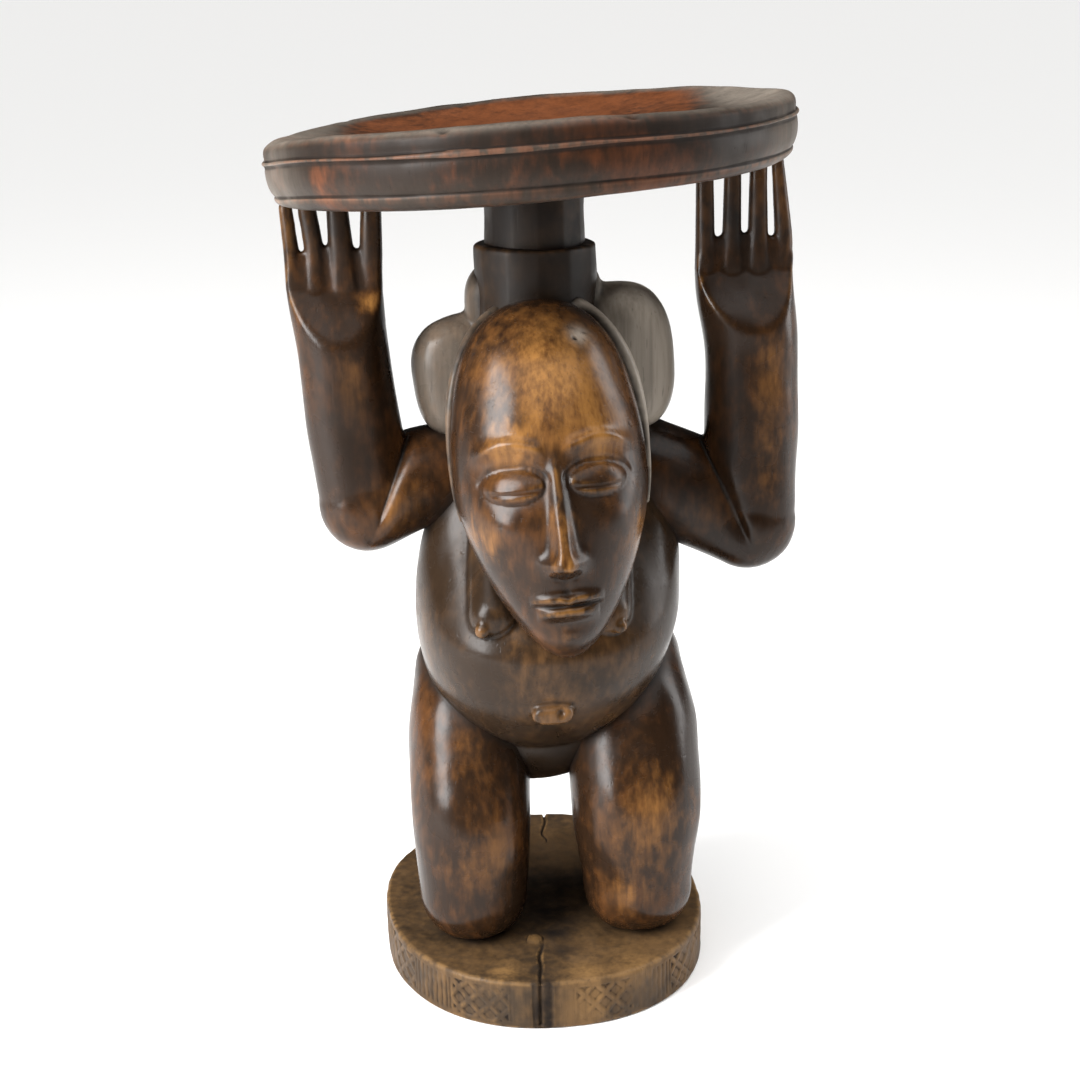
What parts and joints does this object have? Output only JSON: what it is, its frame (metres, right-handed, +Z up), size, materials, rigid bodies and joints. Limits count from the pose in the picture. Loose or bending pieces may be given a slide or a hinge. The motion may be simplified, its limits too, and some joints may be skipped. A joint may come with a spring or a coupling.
{
  "type": "caryatid stool",
  "caption": "Carved hardwood stool: a kneeling figure on an oval base holds a dished round seat on its raised hands and on a short column that stands on its head.",
  "frame": {"origin": "on the floor, on the base's flat underside, straight below the middle of the seat's underside", "axes": "+Z up, and the figure faces -Y, so its right side is at -X and its left side at +X"},
  "size_m": [0.2835, 0.278, 0.4883],
  "materials": {
    "dark_patina": "oiled hardwood, dark patina, handled to a soft gloss",
    "worn_brown": "same wood where handling has worn the patina to brown, glossy",
    "seat_red_brown": "same wood, worn red-brown by sitting, satin",
    "base_brown": "same wood, drier and lighter, dull"
  },
  "bodies": {
    "root": {"base": "base_brown", "seat": "seat_red_brown", "torso": "dark_patina", "navel": "worn_brown", "pelvis": "dark_patina", "head": "worn_brown", "neck": "dark_patina", "coiffure_hub": "dark_patina", "upper_coiffure_lobe": "dark_patina", "right_coiffure_lobe": "dark_patina", "left_coiffure_lobe": "dark_patina", "collar": "dark_patina", "stem": "dark_patina", "right_hairband": "dark_patina", "right_thigh": "worn_brown", "right_lower_leg": "dark_patina", "right_foot": "dark_patina", "right_upper_arm": "dark_patina", "right_forearm": "worn_brown", "right_breast": "dark_patina", "right_finger_1": "dark_patina", "right_finger_2": "dark_patina", "right_finger_3": "dark_patina", "right_finger_4": "dark_patina", "left_hairband": "dark_patina", "left_thigh": "worn_brown", "left_lower_leg": "dark_patina", "left_foot": "dark_patina", "left_upper_arm": "dark_patina", "left_forearm": "worn_brown", "left_breast": "dark_patina", "left_finger_1": "dark_patina", "left_finger_2": "dark_patina", "left_finger_3": "dark_patina", "left_finger_4": "dark_patina"}
  },
  "joints": []
}
